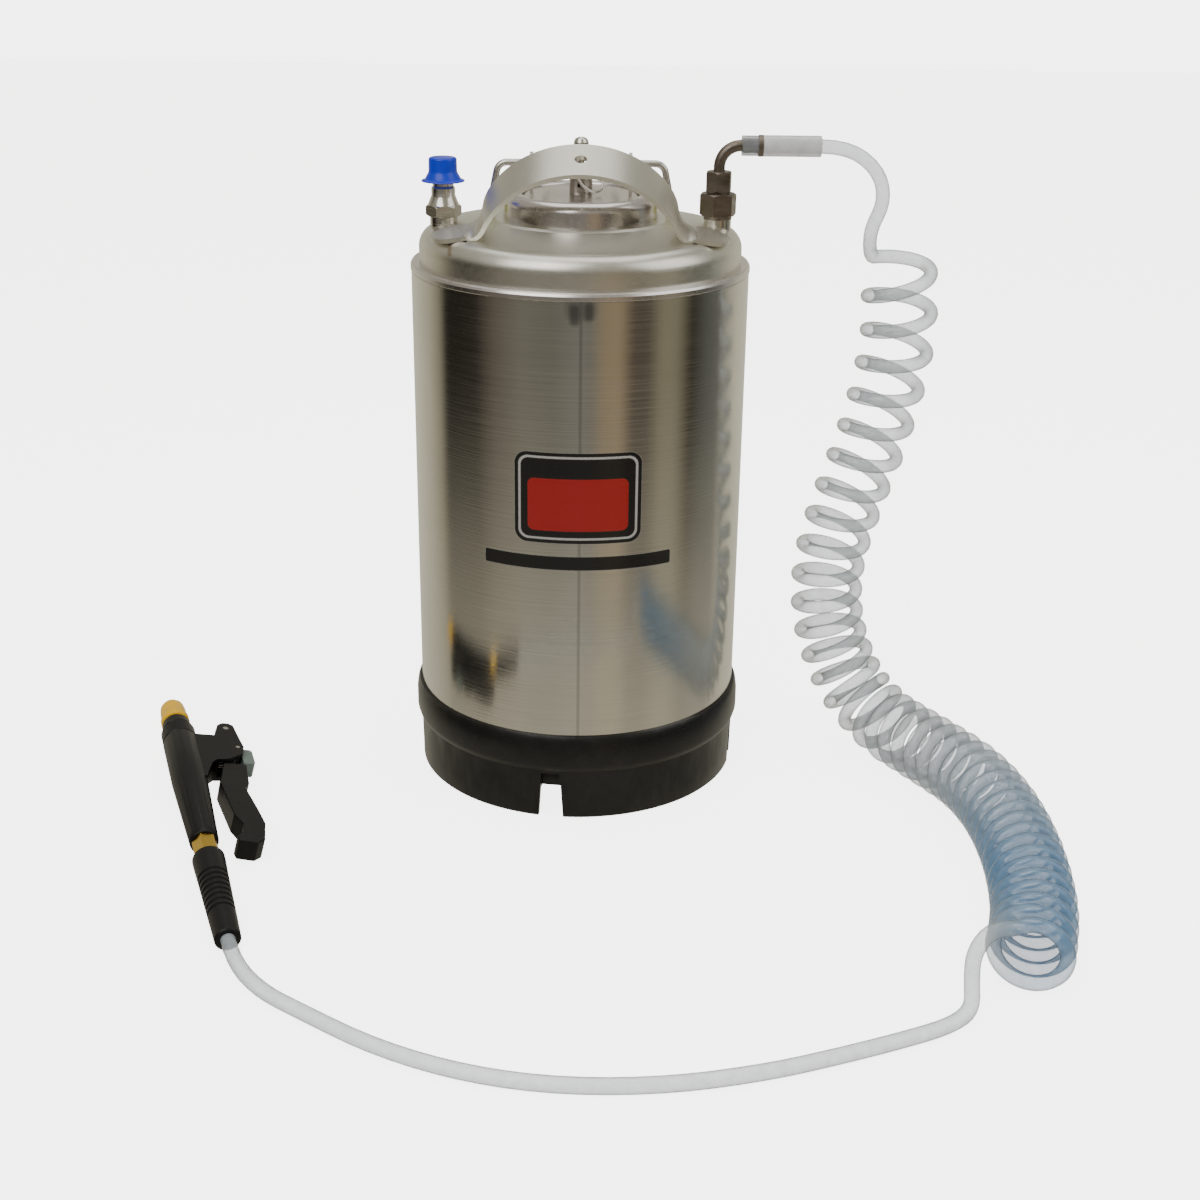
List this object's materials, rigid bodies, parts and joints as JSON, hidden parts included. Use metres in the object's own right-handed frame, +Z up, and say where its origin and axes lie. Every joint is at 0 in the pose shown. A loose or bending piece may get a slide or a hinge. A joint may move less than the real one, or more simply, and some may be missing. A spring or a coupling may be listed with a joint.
{
  "type": "pressurised detailing sprayer",
  "caption": "Floor-standing stainless pressure tank with bail-latched lid, relief valve, strap handle, rubber boot, coiled clear hose and lever spray gun.",
  "frame": {"origin": "on the tank's axis, at the floor under its rubber boot", "axes": "+Z up, +X towards the liquid port and hose, -Y the front with the carry handle"},
  "size_m": [0.6224, 0.5403, 0.45],
  "materials": {
    "bright_steel": "polished stainless",
    "satin_steel": "satin stainless",
    "dark_steel": "dark stained steel",
    "black_rubber": "moulded rubber, satin",
    "green_feet": "yellow-green soft rubber",
    "blue_cap": "bright blue plastic",
    "clear_hose": "clear hose",
    "frosted_sleeve": "frosted sleeve",
    "hose_cuff": "dark cuff",
    "gun_black": "black moulded plastic",
    "lock_grey": "grey-green plastic",
    "yellow_tip": "yellow plastic",
    "brass": "turned brass"
  },
  "bodies": {
    "tank": {"tank_shell": "bright_steel", "seam_bead": "bright_steel", "top_head": "satin_steel", "opening_collar": "satin_steel", "bottom_head": "bright_steel", "rubber_boot": "black_rubber", "carry_handle": "satin_steel", "gas_boss": "bright_steel", "liquid_boss": "bright_steel", "gas_post": "bright_steel", "gas_post_oring": "black_rubber", "gas_poppet_spring": "bright_steel", "gas_tube": "bright_steel", "liquid_adapter": "dark_steel", "swivel_nut": "dark_steel", "elbow_tube": "bright_steel", "hose_cuff": "hose_cuff", "crimp_band": "bright_steel", "strain_sleeve": "frosted_sleeve", "hose_root": "clear_hose", "dip_tube": "clear_hose", "dip_tube_oring": "black_rubber", "hose_lead": "clear_hose", "hose_coil_hanging": "clear_hose", "hose_coil_laid": "clear_hose", "hose_tail": "clear_hose", "gun_hose_end": "clear_hose", "bend_guard": "black_rubber", "inlet_fitting": "brass", "inlet_oring": "black_rubber", "gun_body": "gun_black", "valve_plug": "bright_steel", "trigger_pin": "bright_steel", "lock_pin": "bright_steel", "valve_seat": "gun_black", "valve_gland": "gun_black", "stem_seal": "black_rubber", "valve_spring": "bright_steel", "swirl_core": "brass", "nozzle_oring": "black_rubber"},
    "lid": {"lid_plate": "bright_steel", "lid_gasket": "black_rubber", "hinge_ears": "bright_steel", "relief_body": "bright_steel", "relief_nut": "bright_steel", "relief_seal": "black_rubber", "relief_spring": "bright_steel"},
    "bail_latch": {"bail": "bright_steel", "bail_feet": "green_feet"},
    "relief_valve_stem": {"relief_stem": "bright_steel"},
    "ring": {"pull_ring": "bright_steel"},
    "cap": {"dust_cap": "blue_cap"},
    "poppet": {"gas_poppet": "bright_steel"},
    "trigger": {"trigger_lever": "gun_black"},
    "lock": {"trigger_lock": "lock_grey"},
    "gun_valve": {"valve_stem": "bright_steel"},
    "nozzle": {"nozzle_collar": "gun_black", "nozzle_tip": "yellow_tip"}
  },
  "joints": [
    {"name": "lid_drop", "type": "slide", "parent": "tank", "child": "lid", "axis": [0, 0, -1], "range_m": [0, 0.004]},
    {"name": "bail_swing", "type": "hinge", "parent": "lid", "child": "bail_latch", "pos_m": [0, 0, 0.4304], "axis": [1, 0, 0], "range_deg": [0, 100]},
    {"name": "relief_pull", "type": "slide", "parent": "lid", "child": "relief_valve_stem", "axis": [0, 0, 1], "range_m": [0, 0.003], "stiffness_N_per_m": 1500, "springref_m": -0.004, "deforming": ["relief_spring"]},
    {"name": "ring_swing", "type": "hinge", "parent": "relief_valve_stem", "child": "ring", "pos_m": [0, 0, 0.4326], "axis": [-0.6428, -0.766, 0], "range_deg": [0, 100]},
    {"name": "dust_cap_pull", "type": "slide", "parent": "tank", "child": "cap", "axis": [0, 0, 1], "range_m": [0, 0.03]},
    {"name": "gas_poppet_press", "type": "slide", "parent": "tank", "child": "poppet", "axis": [0, 0, -1], "range_m": [0, 0.003], "stiffness_N_per_m": 800, "springref_m": -0.003, "deforming": ["gas_poppet_spring"]},
    {"name": "trigger_squeeze", "type": "hinge", "parent": "tank", "child": "trigger", "pos_m": [-0.25773, -0.03696, 0.021], "axis": [-0.2531, -0.0063, -0.9674], "range_deg": [0, 3.9], "stiffness_Nm_per_rad": 5, "springref_deg": -5.73},
    {"name": "valve_push", "type": "slide", "parent": "tank", "child": "gun_valve", "axis": [-0.914, -0.3263, 0.2412], "range_m": [0, 0.0028], "deforming": ["valve_spring"]},
    {"name": "lock_flip", "type": "hinge", "parent": "tank", "child": "lock", "pos_m": [-0.24469, -0.06088, 0.01774], "axis": [0.2531, 0.0063, 0.9674], "range_deg": [0, 40]},
    {"name": "nozzle_turn", "type": "hinge", "parent": "tank", "child": "nozzle", "pos_m": [-0.29006, -0.04003, 0.02948], "axis": [-0.3172, 0.9453, 0.0768], "range_deg": [0, 270]}
  ],
  "couplings": [
    {"joint": "bail_swing", "follows": "lid_drop", "rad_per_m": 436.3},
    {"joint": "valve_push", "follows": "trigger_squeeze", "m_per_rad": 0.04}
  ]
}
